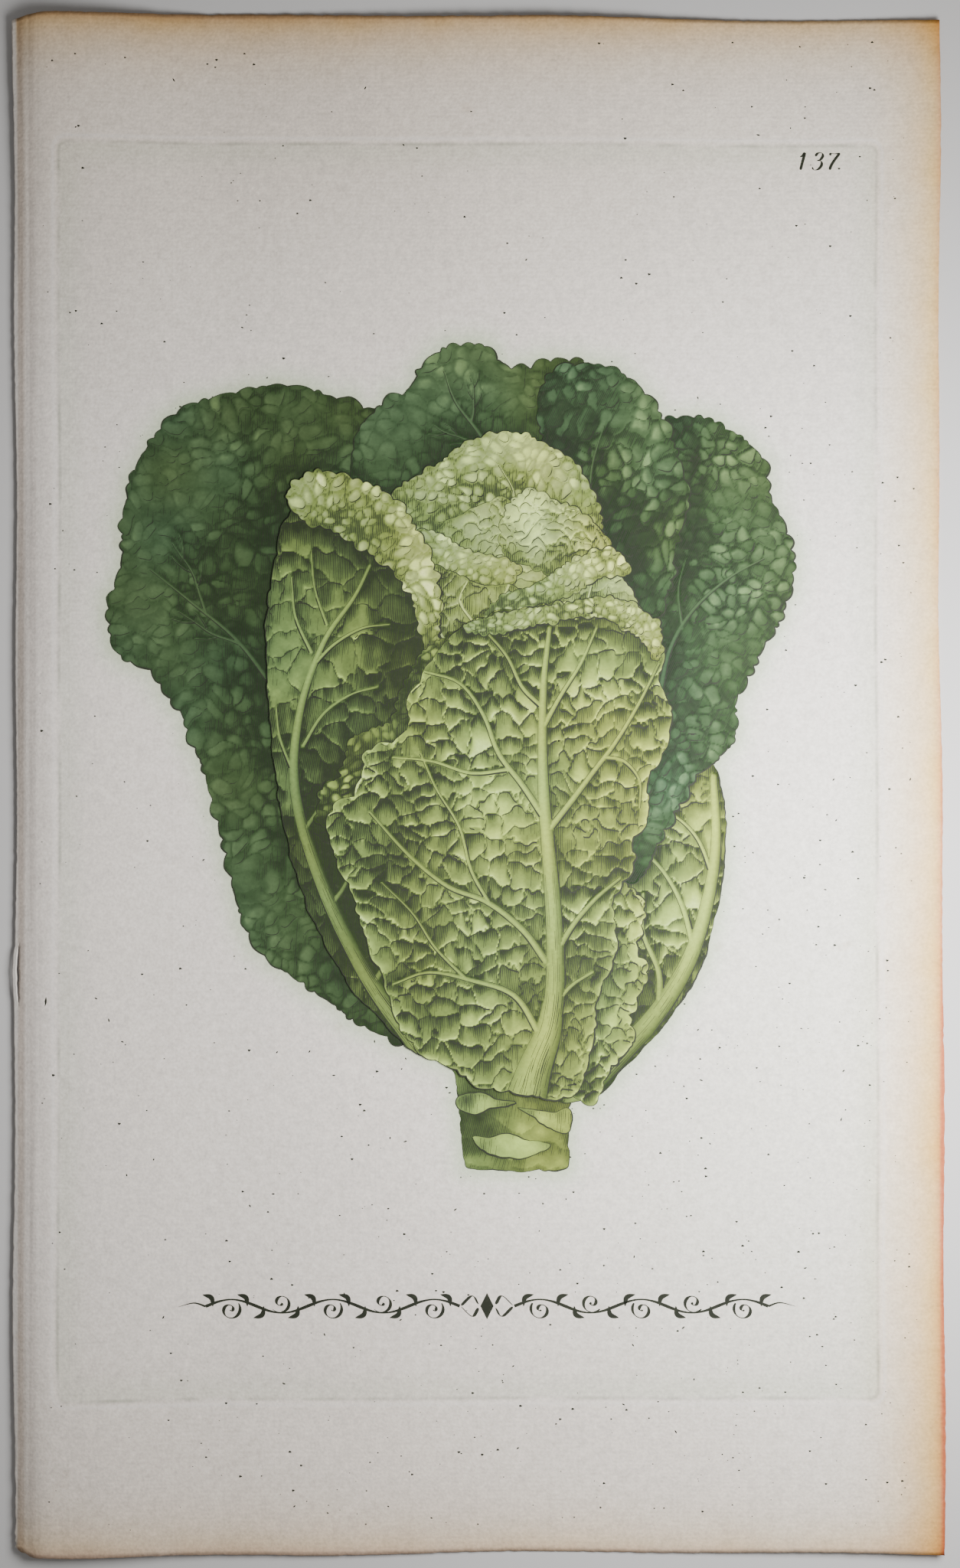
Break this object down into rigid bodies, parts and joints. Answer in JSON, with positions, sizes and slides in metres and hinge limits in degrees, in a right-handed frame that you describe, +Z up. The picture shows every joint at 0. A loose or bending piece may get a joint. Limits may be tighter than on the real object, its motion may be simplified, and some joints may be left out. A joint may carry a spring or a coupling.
{
  "type": "botanical print",
  "caption": "Loose folio leaf of heavy rag paper with a hand-coloured engraving of a leafy cabbage, a plate mark, toned margins and a curled left edge; lies flat, face up.",
  "frame": {"origin": "under the middle of the leaf, in the plane that its flat back rests on", "axes": "+X towards the picture's right, +Y towards its head, along the longest side, +Z up out of the printed face"},
  "size_m": [0.2387, 0.3944, 0.0044],
  "materials": {
    "rag_paper": "matte laid rag paper, grey-white, toned warm along its edges",
    "watercolour_wash": "thin matte green watercolour, soaked into the paper",
    "printing_ink": "matte black-olive copperplate ink"
  },
  "bodies": {
    "root": {"paper_leaf": "rag_paper"}
  },
  "joints": []
}
